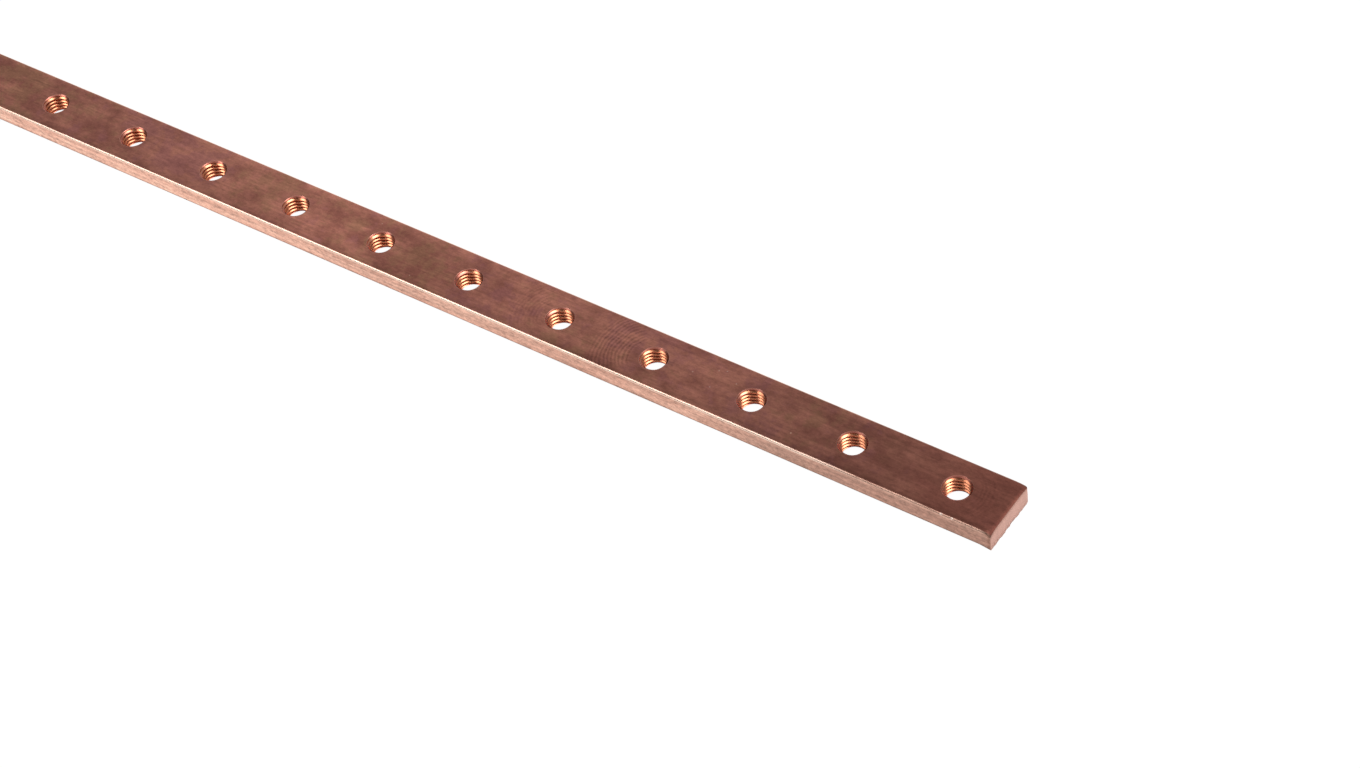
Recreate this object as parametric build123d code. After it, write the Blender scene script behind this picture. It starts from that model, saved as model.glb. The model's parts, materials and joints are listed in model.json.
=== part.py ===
from build123d import *
import math
import os

# A flat drawn copper bar with one row of tapped holes along its middle. All sizes are in millimetres.
# X runs along the bar, Y across it and Z up through its thickness.
# The origin is on the underside, at the middle of the bar's length and width.

# Drawn section and the length it is cut to
bar_length = 1000.0
bar_width = 15.0
bar_thickness = 5.0
long_edge_radius = 0.6

# Sheared ends, where the blade draws the upper edge down into a small round
end_roll_radius = 0.7

# Row of holes with a formed M6 thread, so the bore here is the wider drill that a forming tap needs
hole_pitch = 25.0
end_to_first_hole = 12.5
tapping_drill_diameter = 5.5

# Countersink at the upper mouth of each hole, a little wider than the screw
countersink_diameter = 6.8
countersink_angle = 90.0

# How far a cutting shape reaches past the surface that it cuts
cut_overrun = 1.0


def hole_stations():
    """Distance along X of each hole, counted from the +X end."""
    row_length = bar_length - 2 * end_to_first_hole
    pitches = math.floor(row_length / hole_pitch + 1e-6)
    first = bar_length / 2 - end_to_first_hole
    return [first - hole_pitch * number for number in range(pitches + 1)]


def drawn_bar():
    """The plain bar: a rectangle with rounded corners, drawn along X."""
    section = RectangleRounded(bar_width, bar_thickness, long_edge_radius)
    centred = extrude(Plane.YZ * section, amount=bar_length / 2, both=True)
    return Pos(0, 0, bar_thickness / 2) * centred


def rolled_edge_cutter():
    """What the shear's roll takes off the upper edge of the +X end, right across the bar."""
    roll_centre = Pos(bar_length / 2 - end_roll_radius, bar_thickness - end_roll_radius)
    reach = end_roll_radius + cut_overrun
    corner = roll_centre * Rectangle(reach, reach, align=(Align.MIN, Align.MIN))
    waste = corner - roll_centre * Circle(end_roll_radius)
    return extrude(Plane.XZ * waste, amount=bar_width / 2 + cut_overrun, both=True)


def hole_cutter():
    """One hole at the origin: the tapping bore, with a cone that opens out at the upper face."""
    bore_radius = tapping_drill_diameter / 2
    cone_slope = math.tan(math.radians(countersink_angle / 2))
    cone_depth = (countersink_diameter / 2 - bore_radius) / cone_slope
    mouth_radius = bore_radius + (cone_depth + cut_overrun) * cone_slope
    outline = Polyline(
        (0, -cut_overrun),
        (bore_radius, -cut_overrun),
        (bore_radius, bar_thickness - cone_depth),
        (mouth_radius, bar_thickness + cut_overrun),
        (0, bar_thickness + cut_overrun),
        close=True,
    )
    return revolve(Plane.XZ * make_face(outline), Axis.Z)


roll = rolled_edge_cutter()
hole = hole_cutter()
busbar = drawn_bar() - [roll, mirror(roll, Plane.YZ)]
busbar -= [Pos(station, 0, 0) * hole for station in hole_stations()]

os.makedirs("parts", exist_ok=True)
export_step(busbar, "parts/busbar.step")
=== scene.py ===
import json
import math
import random

import bmesh
import bpy
from mathutils import Matrix, Vector


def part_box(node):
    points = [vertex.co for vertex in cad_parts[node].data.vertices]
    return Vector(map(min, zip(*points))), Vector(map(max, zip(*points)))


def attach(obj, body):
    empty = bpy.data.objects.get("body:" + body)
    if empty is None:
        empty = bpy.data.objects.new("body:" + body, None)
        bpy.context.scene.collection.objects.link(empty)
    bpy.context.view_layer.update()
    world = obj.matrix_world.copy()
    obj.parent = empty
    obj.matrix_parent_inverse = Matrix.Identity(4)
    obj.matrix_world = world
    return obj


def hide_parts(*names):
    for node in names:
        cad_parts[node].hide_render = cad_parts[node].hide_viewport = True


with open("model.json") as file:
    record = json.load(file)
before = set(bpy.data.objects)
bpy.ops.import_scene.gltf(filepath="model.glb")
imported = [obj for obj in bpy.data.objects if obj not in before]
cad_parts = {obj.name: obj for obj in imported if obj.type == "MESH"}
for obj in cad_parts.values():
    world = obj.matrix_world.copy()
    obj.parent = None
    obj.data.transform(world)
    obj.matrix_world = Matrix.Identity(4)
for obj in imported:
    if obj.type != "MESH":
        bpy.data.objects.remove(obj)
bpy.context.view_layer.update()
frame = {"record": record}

# A flat drawn copper bar with one row of tapped holes, lying on a white floor.
# X runs along the bar, Y across it and Z up through it.
# Lengths are in metres, mostly written as millimetres times MM.
MM = 0.001

# The bar's own sizes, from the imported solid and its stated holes
low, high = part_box("busbar")
bar_length = high.x - low.x
bar_width = high.y - low.y
bar_thickness = high.z - low.z
stated_holes = [m for m in frame["record"]["mounts"] if m["kind"] == "threaded_hole"]
first_hole_x = stated_holes[0]["pos_m"][0]
hole_pitch = first_hole_x - stated_holes[1]["pos_m"][0]
tapping_radius = stated_holes[0]["dims"]["r_mm"] * MM
hole_count = round((2 * first_hole_x) / hole_pitch) + 1

# Drawn section
long_edge_radius = 0.6 * MM
long_edge_steps = 6

# Formed M6 thread with a 1 mm pitch. Its crest and its root are shares of the pitch.
thread_pitch = 1.0 * MM
thread_radius = 3.15 * MM
crest_share = 0.30
root_share = 0.20
turn_steps = 48
turns_below = 2
turns_above = 1
thread_start_angles = (1.8, 3.2)

# Countersinks at both mouths of a hole, and how far a cutting shape reaches past the bar
upper_sink_radius = 3.3 * MM
lower_sink_radius = 3.2 * MM
sink_spread = 0.05 * MM
sink_slope = math.tan(math.radians(45))
overrun = 0.4 * MM

# Loops cut round a bar's end, in millimetres from it, and columns and rows cut within their reach
end_loops = (0.05, 0.12, 0.22, 0.35, 0.5, 0.7, 1.0, 1.5, 2.1, 3.0, 4.0)
end_reach = max(end_loops) * MM
end_columns = 25
end_rows = 5

# What the blade does to an end: it rolls the upper edge, cuts askew, tears the foot, leaves a burr
roll_reach = 0.8 * MM
roll_depth = 0.6 * MM
cut_skew = 0.5 * MM
torn_height = 1.6 * MM
torn_depth = 0.22 * MM
torn_depth_shares = (0.1, 1.0)
burr_reach = 3.5 * MM

# The end's far corner is rounded off, less so at its foot, and both upper corners are drawn down
corner_radius = 1.1 * MM
corner_foot_share = 0.6
corner_reach = 3.2 * MM
far_corner_drop = 0.5 * MM
near_corner_drop = 0.6 * MM

# Small bright marks, as distance from the near end and place across in millimetres, and their size
dents = ((78.0, 0.8), (72.4, -1.1), (73.1, 3.7), (71.4, 4.4), (67.8, 2.3))
dent_size = 0.14 * MM
edge_nicks = ((12.2, -7.3), (9.7, -7.3))
nick_size = 0.25 * MM

# Faint turned arcs: hole number, side of it along X, inner and outer radius in millimetres, and
# strength. They fade in and out over a few millimetres, and wander a little.
arc_groups = ((1, 1, 4, 10, 0.07), (4, -1, 5, 16, 0.16), (5, -1, 4, 13, 0.07))
arc_spacing = 0.85 * MM
arc_wander = 1.2 * MM
arc_fade_in = 1
arc_fade_out = 3

# The way in X and Y from a hole's axis to the side of its wall with painted shade
way_to_painted_shade = (0.76, 0.65)

# The tarnish of the flats ends along an uneven line, where the long edges begin to round
shore_line = bar_width / 2 - 0.55 * long_edge_radius
shore_wobble = 0.3 * MM
shore_blur = 0.15 * MM

# How softly a countersink's tone begins at its rim, and gives way to the thread's below its cone
rim_blur = 0.15 * MM
cone_blur = 0.1 * MM

# Steps in tone, each from one distance to another in millimetres, and the share that it adds
flat_tones_along = ((122, 106, -0.14), (74, 52, -0.20), (16, 7, -0.15))
flat_tones_across = ((-4, -6, -0.10), (-6, -6.9, -0.167), (5, 7, 0.16))
pale_stretch_from_end = 176 * MM
pale_stretch_tones = ((24, 8, 0.26),)
side_tones_along = ((140, 205, 0.18), (76, 48, -0.33), (16, 6, -0.075))
# The side's foot is darker by painted shade, where the bar meets the floor
side_painted_shade_at_foot = ((1.1, 0.2, -0.18),)

# The room that the copper mirrors, with parts behind the bar, above it and low beyond it. Each has
# a direction, how closely a ray points that way where it begins and where it is full, and its grey.
room_grey = 0.26
room_parts = (
    ((-0.50, 0.52, 0.69), 0.55, 0.95, 0.52),
    ((0.06, -0.33, 0.94), 0.88, 0.97, 0.06),
    ((-0.42, 0.90, 0.05), 0.86, 0.97, 0.90),
)

# Lamps: direction from the point near the end that they face, width and height in metres, and watts
lamps = {
    "front_left": ((-0.52, -0.495, 0.696), (0.6, 1.1), 9.2),
    "right": ((0.455, 0.18, 0.872), (0.70, 1.1), 13.5),
}
lamp_distance = 1.6
faced_from_end = 0.1

# Points closer than this are one point, and edges that bend more than this are shaded as sharp
weld = 0.001 * MM
sharp_angle = math.radians(32)

draw = random.Random(11)


def mesh_of(bm, name):
    """A finished mesh from the bmesh, which is then freed."""
    mesh = bpy.data.meshes.new(name)
    bm.to_mesh(mesh)
    bm.free()
    return mesh


def stock_block(end):
    """One pitch of the drawn bar, undrilled, centred on its hole; end is 1 or -1 at a bar's end."""
    bm = bmesh.new()
    bmesh.ops.create_cube(bm, size=1)
    bmesh.ops.scale(bm, vec=(hole_pitch, bar_width, bar_thickness), verts=bm.verts)
    bmesh.ops.translate(bm, vec=(0, 0, bar_thickness / 2), verts=bm.verts)
    long_edges = [e for e in bm.edges if abs(e.verts[0].co.x - e.verts[1].co.x) > hole_pitch / 2]
    bmesh.ops.bevel(
        bm, geom=long_edges, offset=long_edge_radius, affect="EDGES",
        segments=long_edge_steps, profile=0.5, material=-1,
    )
    if end:
        add_end_loops(bm, end)
        shear_end(bm, end)
    return bm


def add_end_loops(bm, end):
    """Loops round the block near its sheared end, and columns and rows over the same stretch."""
    for distance in end_loops:
        bmesh.ops.bisect_plane(
            bm, geom=bm.verts[:] + bm.edges[:] + bm.faces[:],
            plane_co=(end * (hole_pitch / 2 - distance * MM), 0, 0), plane_no=(1, 0, 0),
        )
    inner = hole_pitch / 2 - end_reach
    columns = [(0, (n / end_columns - 0.5) * bar_width, 0) for n in range(1, end_columns)]
    rows = [(0, 0, n / end_rows * bar_thickness) for n in range(1, end_rows)]
    for places, normal in ((columns, (0, 1, 0)), (rows, (0, 0, 1))):
        for place in places:
            zone = [f for f in bm.faces if end * f.calc_center_median().x > inner]
            edges = {e for f in zone for e in f.edges}
            verts = {v for f in zone for v in f.verts}
            bmesh.ops.bisect_plane(
                bm, geom=list(verts) + list(edges) + zone, plane_co=place, plane_no=normal,
            )


def shear_end(bm, end):
    """Moves the end's vertices as the blade leaves them, all within the bar's own outline."""
    half = hole_pitch / 2
    depths = [draw.uniform(*torn_depth_shares) for _ in range(end_columns + 1)]
    for vert in bm.verts:
        inward = half - end * vert.co.x
        if inward > end_reach - weld:
            continue
        nearness = 1 - inward / end_reach
        across, height = with_burr(inward, end * vert.co.y, vert.co.z)
        drop = corner_drop(inward, across)
        inward, across = with_round_corner(inward, across, height)
        drop += roll_drop(inward)

        # Only the upper half is drawn down, then the cut is set askew and its foot torn
        height -= drop * max(0.0, 2 * height / bar_thickness - 1)
        inward += cut_skew * (0.5 - across / bar_width) * nearness
        column = min(end_columns, max(0, round((across / bar_width + 0.5) * end_columns)))
        foot = max(0.0, 1 - height / torn_height)
        inward += torn_depth * depths[column] * foot * nearness
        vert.co = (end * (half - inward), end * across, height)


def with_burr(inward, across, height):
    """A point's place with the near lower long edge left sharp at the end, instead of rounded."""
    out = long_edge_radius - (across + bar_width / 2)
    down = long_edge_radius - height
    if out <= 0 or down <= 0:
        return across, height
    sharp = max(0.0, 1 - inward / burr_reach)
    grown = 1 + sharp * (long_edge_radius / max(out, down) - 1)
    across = long_edge_radius - bar_width / 2 - out * grown
    return across, max(0.0, long_edge_radius - down * grown)


def corner_drop(inward, across):
    """How far the end's two upper corners are drawn down at a point."""
    far = max(0.0, 1 - math.hypot(inward, bar_width / 2 - across) / corner_reach)
    near = max(0.0, 1 - math.hypot(inward, bar_width / 2 + across) / corner_reach)
    return far_corner_drop * far * far + near_corner_drop * near * near


def roll_drop(inward):
    """How far the blade rolls the upper edge down, along a quarter of an ellipse."""
    part = min(1.0, max(0.0, 1 - inward / roll_reach))
    return roll_depth * (1 - math.sqrt(1 - part * part))


def with_round_corner(inward, across, height):
    """A point's place with the far corner rounded off, more so towards the upper face."""
    fullness = corner_foot_share + (1 - corner_foot_share) * height / bar_thickness
    rounding = corner_radius * fullness
    over_x = rounding - inward
    over_y = across - (bar_width / 2 - rounding)
    stretch = math.hypot(over_x, over_y)
    if over_x > 0 and over_y > 0 and stretch > rounding:
        inward = rounding - over_x * rounding / stretch
        across = bar_width / 2 - rounding + over_y * rounding / stretch
    return inward, across


def tap(turned):
    """The tap as a closed solid: one thread profile swept round by a turn and raised by a pitch."""
    bm = bmesh.new()
    rise = (1 - crest_share - root_share) / 2
    profile = (
        (0, tapping_radius),
        (crest_share, tapping_radius),
        (crest_share + rise, thread_radius),
        (crest_share + rise + root_share, thread_radius),
    )
    turns = turns_below + math.ceil(bar_thickness / thread_pitch) + turns_above
    points = []
    for turn in range(turns):
        for share, radius in profile:
            height = (turn + share - turns_below) * thread_pitch
            points.append(bm.verts.new((radius, 0, height)))
    edges = [bm.edges.new(pair) for pair in zip(points, points[1:])]
    bmesh.ops.spin(
        bm, geom=points + edges, cent=(0, 0, 0), axis=(0, 0, 1), angle=2 * math.pi,
        dvec=(0, 0, thread_pitch / turn_steps), steps=turn_steps, use_merge=False,
        use_duplicate=False,
    )
    bmesh.ops.remove_doubles(bm, verts=bm.verts, dist=weld)
    for height, side in ((-overrun, -1), (bar_thickness + overrun, 1)):
        bmesh.ops.bisect_plane(
            bm, geom=bm.verts[:] + bm.edges[:] + bm.faces[:], plane_co=(0, 0, height),
            plane_no=(0, 0, side), clear_outer=True,
        )
    bmesh.ops.holes_fill(bm, edges=[e for e in bm.edges if e.is_boundary], sides=0)
    bmesh.ops.recalc_face_normals(bm, faces=bm.faces)
    bmesh.ops.rotate(bm, matrix=Matrix.Rotation(turned, 3, "Z"), verts=bm.verts)
    return bm


def countersink(radius, height, side):
    """A cone of this radius at that height, narrowing into the bar; side is 1 above, -1 below."""
    bm = bmesh.new()
    tip = radius / sink_slope
    depth = tip + overrun
    made = bmesh.ops.create_cone(
        bm, cap_ends=True, segments=turn_steps, radius1=0, radius2=depth * sink_slope, depth=depth,
    )
    bmesh.ops.translate(bm, vec=(0, 0, depth / 2 - tip), verts=made["verts"])
    if side < 0:
        bmesh.ops.scale(bm, vec=(1, 1, -1), verts=bm.verts)
        bmesh.ops.recalc_face_normals(bm, faces=bm.faces)
    bmesh.ops.translate(bm, vec=(0, 0, height), verts=bm.verts)
    return bm


def cut(block, cutters):
    """The block with each cutter taken out of it, as a mesh."""
    body = bpy.data.objects.new("body", mesh_of(block, "body"))
    bpy.context.collection.objects.link(body)
    helpers = []
    for number, cutter in enumerate(cutters):
        helper = bpy.data.objects.new(f"cutter_{number}", mesh_of(cutter, "cutter"))
        bpy.context.collection.objects.link(helper)
        helpers.append(helper)
        taken = body.modifiers.new(helper.name, "BOOLEAN")
        taken.operation = "DIFFERENCE"
        taken.solver = "EXACT"
        taken.object = helper
    bpy.context.view_layer.update()
    finished = body.evaluated_get(bpy.context.evaluated_depsgraph_get())
    result = bpy.data.meshes.new_from_object(finished)
    for helper in helpers + [body]:
        bpy.data.objects.remove(helper)
    return result


def drilled_pitch(end):
    """One pitch of the bar with its countersunk and tapped hole, no two holes quite alike."""
    upper = upper_sink_radius + draw.uniform(-sink_spread, sink_spread)
    lower = lower_sink_radius + draw.uniform(-sink_spread, sink_spread)
    cutters = [
        countersink(upper, bar_thickness, 1),
        countersink(lower, 0, -1),
        tap(draw.uniform(*thread_start_angles)),
    ]
    return cut(stock_block(end), cutters)


def parts_two_pitches(face):
    """Whether a face closes a pitch off against the next one; a bar's end has only small faces."""
    places = [v.co.x for v in face.verts]
    upright = max(places) - min(places) < weld
    return upright and face.calc_area() > 0.5 * bar_width * bar_thickness


def busbar_mesh():
    """All the pitches laid end to end and joined into one closed skin."""
    bm = bmesh.new()
    for number in range(hole_count):
        end = (number == 0) - (number == hole_count - 1)
        bm.from_mesh(drilled_pitch(end))
        fresh = [v for v in bm.verts if not v.tag]
        bmesh.ops.translate(bm, vec=(first_hole_x - number * hole_pitch, 0, 0), verts=fresh)
        for vert in fresh:
            vert.tag = True
    between = [f for f in bm.faces if parts_two_pitches(f)]
    bmesh.ops.delete(bm, geom=between, context="FACES_ONLY")
    rims = [v for v in bm.verts if v.is_boundary]
    bmesh.ops.remove_doubles(bm, verts=rims, dist=weld)
    for face in bm.faces:
        square_to_axes = max(abs(part) for part in face.normal) >= 0.9999
        face.smooth = not square_to_axes
    for edge in bm.edges:
        edge.smooth = edge.calc_face_angle(0) < sharp_angle
    return mesh_of(bm, "busbar_skin")


class Value:
    """A shader socket that adds, subtracts, multiplies and divides as a number does."""

    def __init__(self, finish, socket):
        self.finish = finish
        self.socket = socket

    def __add__(self, other):
        return self.finish.maths("ADD", self, other)

    def __sub__(self, other):
        return self.finish.maths("SUBTRACT", self, other)

    def __mul__(self, other):
        return self.finish.maths("MULTIPLY", self, other)

    def __truediv__(self, other):
        return self.finish.maths("DIVIDE", self, other)

    def __rsub__(self, other):
        return self.finish.maths("SUBTRACT", other, self)

    __radd__ = __add__
    __rmul__ = __mul__


class Finish:
    """The node tree of one material or of the world, with one method that makes any node."""

    def __init__(self, owner):
        owner.use_nodes = True
        self.tree = owner.node_tree
        self.tree.nodes.clear()

    def node(self, kind, settings=None, sockets=None):
        """A new node with its settings, and then the values or links of its sockets."""
        made = self.tree.nodes.new(kind)
        for name, value in (settings or {}).items():
            setattr(made, name, value)
        for key, value in (sockets or {}).items():
            if isinstance(value, Value):
                self.tree.links.new(value.socket, made.inputs[key])
            else:
                made.inputs[key].default_value = value
        return made

    def out(self, kind, settings=None, sockets=None, output=0):
        """A new node's output, ready for more maths."""
        return Value(self, self.node(kind, settings, sockets).outputs[output])

    def maths(self, operation, first, second=0.0, third=0.0):
        return self.out("ShaderNodeMath", {"operation": operation}, {0: first, 1: second, 2: third})

    def smooth(self, value, start, end):
        """0 before start, 1 after end, eased between; start may be the larger one."""
        settings = {"interpolation_type": "SMOOTHSTEP"}
        if start < end:
            span = {"From Min": start, "From Max": end, "To Min": 0.0, "To Max": 1.0}
        else:
            span = {"From Min": end, "From Max": start, "To Min": 1.0, "To Max": 0.0}
        return self.out("ShaderNodeMapRange", settings, {"Value": value, **span})

    def toned(self, shade, distance, tones):
        """A shade taken up or down by each step in a list of tones, as the distance passes it."""
        for start, end, share in tones:
            shade = shade * (1.0 + share * self.smooth(distance, start * MM, end * MM))
        return shade

    def mix(self, share, first, second, blend="MIX"):
        """Two colours mixed by a share. 0, 6, 7 and 2 are the mix node's sockets for colours."""
        settings = {"data_type": "RGBA", "blend_type": blend}
        return self.out("ShaderNodeMix", settings, {0: share, 6: first, 7: second}, output=2)

    def scaled(self, colour, shade):
        """A colour made lighter or darker by a number."""
        grey = self.out("ShaderNodeCombineColor", sockets={0: shade, 1: shade, 2: shade})
        return self.mix(1.0, colour, grey, "MULTIPLY")

    def along(self, first, second):
        """How far one direction goes along another."""
        settings = {"operation": "DOT_PRODUCT"}
        return self.out("ShaderNodeVectorMath", settings, {0: first, 1: second}, output="Value")


def opaque(red, green, blue):
    return (red, green, blue, 1.0)


class BarPoint:
    """Where a shaded point lies on the bar, and the noises that more than one finish uses."""

    def __init__(self, look):
        self.look = look
        self.place = look.out("ShaderNodeTexCoord", output="Object")
        axes = look.node("ShaderNodeSeparateXYZ", sockets={0: self.place})
        self.x, self.y, self.z = (Value(look, axes.outputs[n]) for n in range(3))
        self.to_end = bar_length / 2 - look.maths("ABSOLUTE", self.x)
        end = look.maths("SIGN", self.x)
        self.to_cut = self.to_end - cut_skew * (0.5 - end * self.y / bar_width)

        # Its own hole is the one in the same pitch
        self.past_hole = look.maths("WRAP", self.x - first_hole_x, hole_pitch / 2, -hole_pitch / 2)
        self.from_hole = look.maths("SQRT", self.past_hole * self.past_hole + self.y * self.y)

        self.patches = self.noise(scale=190.0, detail=3.0, roughness=0.6, stretch=(0.7, 1.0, 1.0))
        mottle = self.noise(scale=1500.0, detail=4.0, roughness=0.78, stretch=(0.6, 1.0, 1.0))
        self.mottle = mottle - 0.5
        self.grain = self.noise(scale=2200.0, detail=2.0, roughness=0.6, stretch=(0.12, 1.0, 1.0))
        self.lines = self.noise(scale=1300.0, detail=2.0, roughness=0.5, stretch=(0.02, 1.0, 1.0))
        self.streaks = self.noise(scale=420.0, detail=2.0, roughness=0.5, stretch=(0.03, 1.0, 1.0))

    def noise(self, scale, detail, roughness, stretch=(1.0, 1.0, 1.0)):
        """Soft noise from 0 to 1; a small number in stretch draws it out along that axis."""
        mapping = {"Vector": self.place, "Scale": stretch}
        drawn_out = self.look.out("ShaderNodeMapping", sockets=mapping)
        sockets = {"Vector": drawn_out, "Scale": scale, "Detail": detail, "Roughness": roughness}
        return self.look.out("ShaderNodeTexNoise", {"normalize": True}, sockets)


def copper_finish():
    """Bare drawn copper: brown flats, paler edges and sides, sheared ends and bright threads."""
    material = bpy.data.materials.new("drawn_copper")
    look = Finish(material)
    at = BarPoint(look)
    outside_holes, cones, threads = hole_zones(look, at)
    rings = 0.0
    for number, side, inner, outer, strength in arc_groups:
        rings = rings + hole_arcs(look, at, number, side, inner, outer) * strength
    scores = at.noise(scale=1700.0, detail=2.0, roughness=0.6, stretch=(1.0, 1.0, 0.12))

    wobble = at.noise(scale=120.0, detail=4.0, roughness=0.6, stretch=(1.0, 0.0, 0.0)) - 0.5
    shore = look.maths("ABSOLUTE", at.y) + wobble * shore_wobble
    on_flats = look.smooth(shore, shore_line + shore_blur, shore_line - shore_blur) * outside_holes
    on_ends = look.smooth(at.to_cut, 0.3 * MM, 0.12 * MM)

    colour = look.mix(on_flats, rubbed_sides(look, at), tarnished_flats(look, at, rings))
    colour = look.mix(on_ends, colour, sheared_ends(look, at, scores))
    colour = with_holes(look, at, colour, cones, threads)

    # Streaks and the ends are rougher than the drawn bar, and the threads smoother
    drawn_roughness = 0.33
    streak_roughness = 0.10
    thread_polish = 0.13
    end_roughness = 0.22
    by_end = look.smooth(at.to_cut, 1.2 * MM, 0.7 * MM)
    roughness = drawn_roughness + streak_roughness * at.streaks - thread_polish * threads
    roughness = roughness + end_roughness * by_end

    # Fine relief, with each mark's share of the whole depth
    relief_depth = 0.05 * MM
    relief_strength = 0.16
    height = at.lines * 0.5 + at.grain * 0.3 + rings * 0.6 + scores * on_ends
    bumped = look.out("ShaderNodeBump", sockets={
        "Strength": relief_strength, "Distance": relief_depth, "Height": height * outside_holes,
    })
    surface = look.out("ShaderNodeBsdfPrincipled", sockets={
        "Base Color": colour, "Metallic": 1.0, "Roughness": roughness, "Normal": bumped,
    })
    look.node("ShaderNodeOutputMaterial", sockets={"Surface": surface})
    return material


def hole_zones(look, at):
    """Three shares from 0 to 1: outside the holes, on their countersinks and on their threads."""
    smallest_rim = upper_sink_radius - sink_spread
    outside = look.smooth(at.from_hole, smallest_rim, smallest_rim + rim_blur)
    under_upper_cone = bar_thickness - at.z - (upper_sink_radius - at.from_hole)
    over_lower_cone = at.z - (lower_sink_radius - at.from_hole)
    past_cones = look.maths("MINIMUM", under_upper_cone, over_lower_cone)
    deep = look.smooth(past_cones, cone_blur, 2 * cone_blur)
    inside = 1.0 - outside
    return outside, inside * (1.0 - deep), inside * deep


def with_holes(look, at, colour, cones, threads):
    """The colour with brown countersinks and bright threads, darker on one side of each hole as
    painted shade.

    A quarter turn on from the painted shade, the countersink is lighter as a painted highlight.
    """
    cone_brown = opaque(0.53, 0.19, 0.14)
    thread_orange = opaque(0.85, 0.315, 0.168)
    painted_shade_depth = 0.62
    painted_highlight_gain = 0.45

    way_x, way_y = way_to_painted_shade
    toward_hole_shade = (at.past_hole * way_x + at.y * way_y) / at.from_hole
    toward_hole_highlight = (at.y * way_x - at.past_hole * way_y) / at.from_hole
    # Painted shade on one side of each hole's wall, and a painted highlight on the countersink a
    # quarter turn on
    hole_painted_shade = 1.0 - painted_shade_depth * look.smooth(toward_hole_shade, 0.52, 0.84)
    hole_painted_highlight = 1.0 + painted_highlight_gain * look.smooth(toward_hole_highlight, 0.4, 0.9)
    colour = look.mix(cones, colour, look.scaled(cone_brown, hole_painted_shade * hole_painted_highlight))
    return look.mix(threads, colour, look.scaled(thread_orange, hole_painted_shade))


def tarnished_flats(look, at, rings):
    """Clouded brown tarnish, darker by the near edge and near the ends, with specks and dents."""
    deep_brown = opaque(0.33, 0.123, 0.092)
    pale_brown = opaque(0.555, 0.225, 0.163)
    green_brown = opaque(0.41, 0.21, 0.12)
    purple_brown = opaque(0.38, 0.145, 0.15)
    red_brown = opaque(0.385, 0.126, 0.094)
    bare_speck = opaque(0.85, 0.55, 0.42)
    bare_dent = opaque(0.80, 0.55, 0.46)

    # How much of the brown each tint and mark covers
    green_cover = 0.5
    green_cover_at_end = 0.1
    purple_cover = 0.42
    red_cover = 0.6
    speck_cover = 0.6
    dent_cover = 0.45

    clouds = at.noise(scale=60.0, detail=3.0, roughness=0.55, stretch=(0.5, 1.0, 1.0))
    paleness = look.smooth(clouds * 0.45 + at.patches * 0.55, 0.36, 0.62)
    tints = at.noise(scale=260.0, detail=4.0, roughness=0.65) * 0.6
    tints = tints + at.noise(scale=38.0, detail=1.0, roughness=0.5) * 0.4
    green_lost = (green_cover - green_cover_at_end) * look.smooth(at.to_end, 50 * MM, 25 * MM)
    greenness = look.smooth(tints, 0.50, 0.62) * (green_cover - green_lost)
    brown = look.mix(paleness, deep_brown, pale_brown)
    brown = look.mix(greenness, brown, green_brown)
    brown = look.mix(look.smooth(tints, 0.49, 0.38) * purple_cover, brown, purple_brown)
    brown = look.mix(look.smooth(at.to_end, 26 * MM, 8 * MM) * red_cover, brown, red_brown)

    # Drawing lines show best on the paler patches
    line_contrast = 0.7 * look.smooth(at.patches, 0.35, 0.6)
    grain_contrast = 0.3
    mottle_contrast = 1.1
    shade = 1.0 + (at.lines - 0.5) * line_contrast + (at.grain - 0.5) * grain_contrast
    shade = shade + at.mottle * mottle_contrast + rings
    from_pale_stretch = look.maths("ABSOLUTE", at.to_end - pale_stretch_from_end)
    shade = look.toned(shade, at.y, flat_tones_across)
    shade = look.toned(shade, at.to_end, flat_tones_along)
    shade = look.toned(shade, from_pale_stretch, pale_stretch_tones)
    brown = look.scaled(brown, shade)
    brown = look.mix(specks(look, at) * speck_cover, brown, bare_speck)
    return look.mix(spots(look, at, dents, dent_size) * dent_cover, brown, bare_dent)


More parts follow.
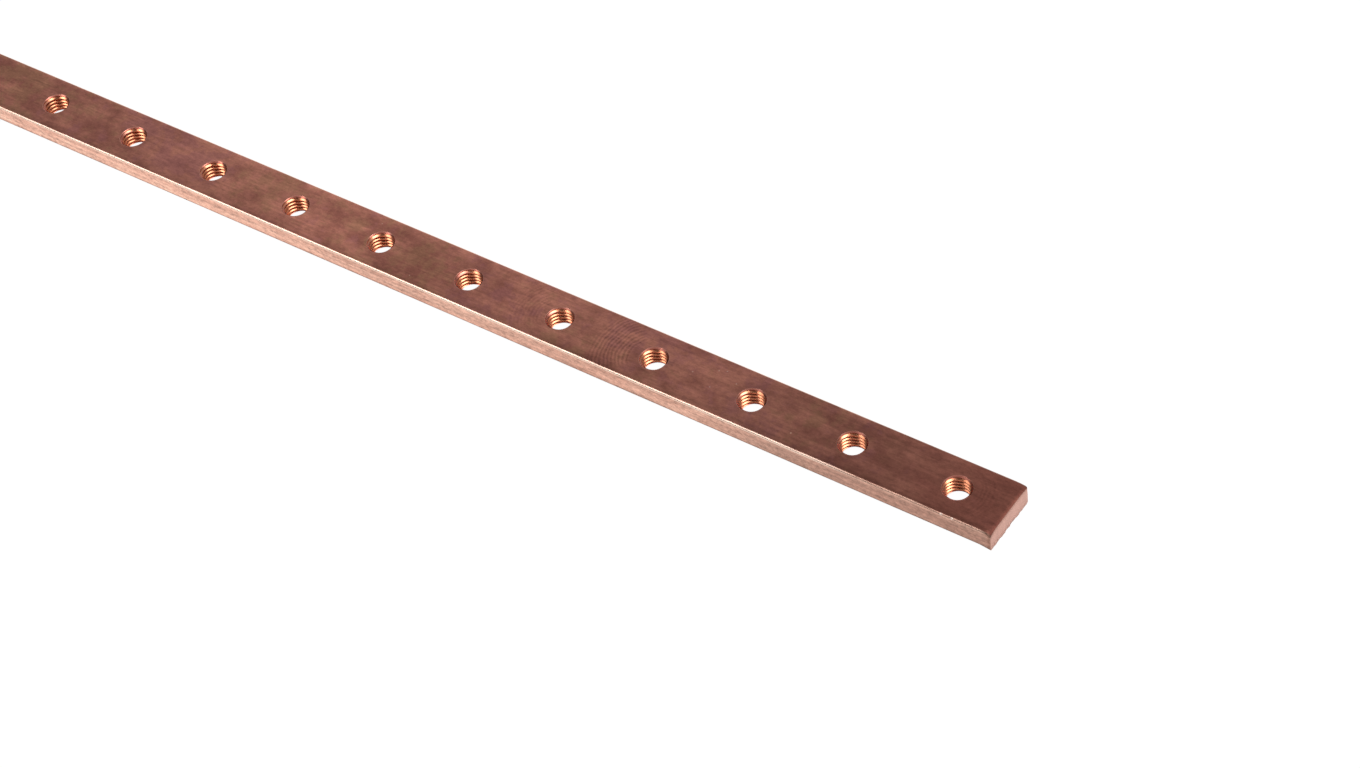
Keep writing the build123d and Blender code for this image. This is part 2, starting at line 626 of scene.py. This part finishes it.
def rubbed_sides(look, at):
    """Paler copper rubbed in streaks, darker near the ends, with painted shade at its foot and a
    painted highlight, partly burnish, along the top.
    """
    dull_pink = opaque(0.60, 0.318, 0.232)
    pale_pink = opaque(0.785, 0.46, 0.345)
    end_pink = opaque(0.63, 0.325, 0.24)
    # Colour of the painted highlight along the upper edge, partly burnish
    burnish_and_painted_highlight_pink = opaque(0.98, 0.725, 0.59)
    bare_nick = opaque(0.95, 0.75, 0.65)
    end_pink_cover = 0.5
    line_contrast = 0.9
    grain_contrast = 0.5
    mottle_contrast = 1.9
    least_burnish_and_highlight = 0.72
    burnish_and_highlight_lost_at_end = 0.75

    rubbed = look.smooth(at.streaks * 0.6 + at.patches * 0.4, 0.35, 0.65)
    pink = look.mix(rubbed, dull_pink, pale_pink)
    pink = look.mix(look.smooth(at.to_end, 80 * MM, 30 * MM) * end_pink_cover, pink, end_pink)
    wear_and_painted_shade = 1.0 + (at.lines - 0.5) * line_contrast + (at.grain - 0.5) * grain_contrast
    wear_and_painted_shade = wear_and_painted_shade + at.mottle * mottle_contrast
    wear_and_painted_shade = look.toned(wear_and_painted_shade, at.to_end, side_tones_along)
    # Painted shade darkens the side towards its foot
    wear_and_painted_shade = look.toned(wear_and_painted_shade, at.z, side_painted_shade_at_foot)
    pink = look.scaled(pink, wear_and_painted_shade)

    # The upper edge carries a painted highlight that is partly burnish, weaker near an end and gone
    # on its corners
    below_top = bar_thickness - at.z
    burnish_and_painted_highlight = look.smooth(below_top, 1.2 * long_edge_radius, 0.65 * long_edge_radius)
    burnish_and_painted_highlight = burnish_and_painted_highlight * (least_burnish_and_highlight + (1 - least_burnish_and_highlight) * rubbed)
    near_end = look.smooth(at.to_end, 46 * MM, 30 * MM)
    burnish_and_painted_highlight = burnish_and_painted_highlight * (1.0 - burnish_and_highlight_lost_at_end * near_end)
    burnish_and_painted_highlight = burnish_and_painted_highlight * look.smooth(at.to_end, 1.6 * MM, 2.4 * MM)
    pink = look.mix(burnish_and_painted_highlight, pink, burnish_and_painted_highlight_pink)
    nicked = spots(look, at, edge_nicks, nick_size) * look.smooth(below_top, 0.5 * MM, 0.3 * MM)
    return look.mix(nicked, pink, bare_nick)


def sheared_ends(look, at, scores):
    """Bare copper scored up and down by the blade, darker where its foot is torn."""
    sheared_pink = opaque(0.75, 0.455, 0.375)
    unscored_shade = 0.79
    score_contrast = 0.3
    torn_darkening = 0.14
    torn = look.smooth(at.z, torn_height, 0.4 * MM) * look.smooth(at.grain, 0.35, 0.65)
    shade = unscored_shade + score_contrast * scores - torn_darkening * torn
    return look.scaled(sheared_pink, shade)


def hole_arcs(look, at, number, side, inner, outer):
    """Faint turned arcs on one side of a hole, from -1 to 1, between two radii in millimetres."""
    along = at.x - (first_hole_x - (number - 1) * hole_pitch)
    radius = look.maths("SQRT", along * along + at.y * at.y)
    begun = look.smooth(radius, inner * MM, (inner + arc_fade_in) * MM)
    ended = look.smooth(radius, outer * MM, (outer - arc_fade_out) * MM)
    sector = look.smooth(side * along / radius, 0.6, 0.9)
    ragged = radius + at.noise(scale=300.0, detail=3.0, roughness=0.6) * arc_wander
    return look.maths("SINE", ragged * (2 * math.pi / arc_spacing)) * begun * ended * sector


def specks(look, at):
    """1 at a few tiny bright dots scattered over the flats, else 0.

    Each cell of the pattern has a place for one, and about one cell in eight has it.
    """
    cells_per_metre = 260.0
    speck_radius = 0.055
    speck_core = 0.03
    sockets = {"Vector": at.place, "Scale": cells_per_metre, "Randomness": 1.0}
    cells = look.node("ShaderNodeTexVoronoi", {"feature": "F1"}, sockets)
    near = look.smooth(Value(look, cells.outputs["Distance"]), speck_radius, speck_core)
    chance = look.out("ShaderNodeSeparateColor", sockets={0: Value(look, cells.outputs["Color"])})
    return near * look.smooth(chance, 0.86, 0.9)


def spots(look, at, places, size):
    """1 at small round spots, else 0; a place is millimetres from the near end and across."""
    found = 0.0
    for from_end, sideways in places:
        along = at.x - (bar_length / 2 - from_end * MM)
        across = at.y - sideways * MM
        distance = look.maths("SQRT", along * along + across * across)
        found = look.maths("MAXIMUM", found, look.smooth(distance, 1.6 * size, 0.6 * size))
    return found


def floor_finish():
    """White to the eye and in reflections, with a little of the lit surface left for the shadow."""
    material = bpy.data.materials.new("white_floor")
    look = Finish(material)
    path = look.node("ShaderNodeLightPath")
    rays = ("Is Camera Ray", "Is Glossy Ray", "Is Transmission Ray")
    by_eye, by_gloss, by_glass = (Value(look, path.outputs[ray]) for ray in rays)

    # Reflections find the floor dark under the bar, up to a little past its outline
    shade_edge = -0.1 * MM
    open_edge = 0.9 * MM
    place = look.out("ShaderNodeTexCoord", output="Object")
    axes = look.node("ShaderNodeSeparateXYZ", sockets={0: place})
    beyond_end = look.maths("ABSOLUTE", Value(look, axes.outputs[0])) - bar_length / 2
    beyond_side = look.maths("ABSOLUTE", Value(look, axes.outputs[1])) - bar_width / 2
    gap = look.maths("MAXIMUM", beyond_end, beyond_side)
    open_floor = look.smooth(gap, shade_edge, open_edge)

    # Shares of plain white; the rest is paper that the lamps light
    white_to_eye = 0.93
    white_under_bar = 0.06
    white_beside_bar = 0.93
    paper_grey = 0.9
    white_strength = 1.05
    paper_colour = opaque(paper_grey, paper_grey, paper_grey)
    glow = {"Color": opaque(1, 1, 1), "Strength": white_strength}
    paper = look.out("ShaderNodeBsdfDiffuse", sockets={"Color": paper_colour})
    white = look.out("ShaderNodeEmission", sockets=glow)
    mirrored = look.maths("MAXIMUM", by_gloss, by_glass)
    white_in_mirrors = white_under_bar + (white_beside_bar - white_under_bar) * open_floor
    share = by_eye * white_to_eye + mirrored * white_in_mirrors
    mixed = look.out("ShaderNodeMixShader", sockets={0: share, 1: paper, 2: white})
    look.node("ShaderNodeOutputMaterial", sockets={"Surface": mixed})
    return material


def lay_floor():
    """A wide white floor, a hair under the bar."""
    radius = 30
    gap = 0.02 * MM
    sides = 64
    bm = bmesh.new()
    bmesh.ops.create_circle(bm, cap_ends=True, segments=sides, radius=radius)
    bmesh.ops.translate(bm, vec=(0, 0, low.z - gap), verts=bm.verts)
    floor = bpy.data.objects.new("floor", mesh_of(bm, "floor"))
    bpy.context.collection.objects.link(floor)
    floor.data.materials.append(floor_finish())


def soft_box(name, direction, size, power):
    """A rectangular lamp in that direction from a point near the bar's end, facing it."""
    lamp = bpy.data.lights.new(name, "AREA")
    lamp.shape = "RECTANGLE"
    lamp.size, lamp.size_y = size
    lamp.energy = power
    holder = bpy.data.objects.new(name, lamp)
    bpy.context.collection.objects.link(holder)
    aim = Vector((high.x - faced_from_end, 0, 0))
    towards = Vector(direction).normalized()
    turned = towards.to_track_quat("Z", "Y").to_matrix().to_4x4()
    holder.matrix_world = Matrix.Translation(aim + towards * lamp_distance) @ turned


def set_up_camera():
    """The photograph's view of the near end, as its edges and hole rims give it."""
    azimuth = math.radians(40.33)
    elevation = math.radians(48.80)
    roll = math.radians(-9.36)
    from_end = Vector((178.83, -306.54, 459.21)) * MM
    focal_pixels = 2822.8
    frame_pixels = 1360
    back = Vector((
        math.sin(azimuth) * math.cos(elevation),
        -math.cos(azimuth) * math.cos(elevation),
        math.sin(elevation),
    ))
    level = Vector((math.cos(azimuth), math.sin(azimuth), 0))
    side = Matrix.Rotation(roll, 3, back) @ level
    up = back.cross(side)
    camera = bpy.data.cameras.new("camera")
    camera.sensor_width = 36
    camera.lens = focal_pixels / frame_pixels * camera.sensor_width
    camera.clip_start = 0.01
    holder = bpy.data.objects.new("camera", camera)
    bpy.context.collection.objects.link(holder)
    at = Vector((high.x, (low.y + high.y) / 2, low.z)) + from_end
    holder.matrix_world = Matrix.Translation(at) @ Matrix((side, up, back)).transposed().to_4x4()
    bpy.context.scene.camera = holder


def light_the_scene():
    """A grey room with lighter and darker parts, and the lamps."""
    world = bpy.data.worlds.new("studio")
    bpy.context.scene.world = world
    look = Finish(world)
    towards = look.out("ShaderNodeTexCoord", output="Generated")
    room = opaque(room_grey, room_grey, room_grey)
    for direction, begun, full, grey in room_parts:
        share = look.smooth(look.along(towards, direction), begun, full)
        room = look.mix(share, room, opaque(grey, grey, grey))
    sky = look.out("ShaderNodeBackground", sockets={"Color": room, "Strength": 1.0})
    look.node("ShaderNodeOutputWorld", sockets={"Surface": sky})
    for name, (direction, size, power) in lamps.items():
        soft_box(name, direction, size, power)


busbar = bpy.data.objects.new("busbar_stock", busbar_mesh())
bpy.context.collection.objects.link(busbar)
busbar.data.materials.append(copper_finish())
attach(busbar, "root")
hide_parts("busbar")
lay_floor()
set_up_camera()
light_the_scene()
bpy.context.scene.view_settings.view_transform = "Standard"
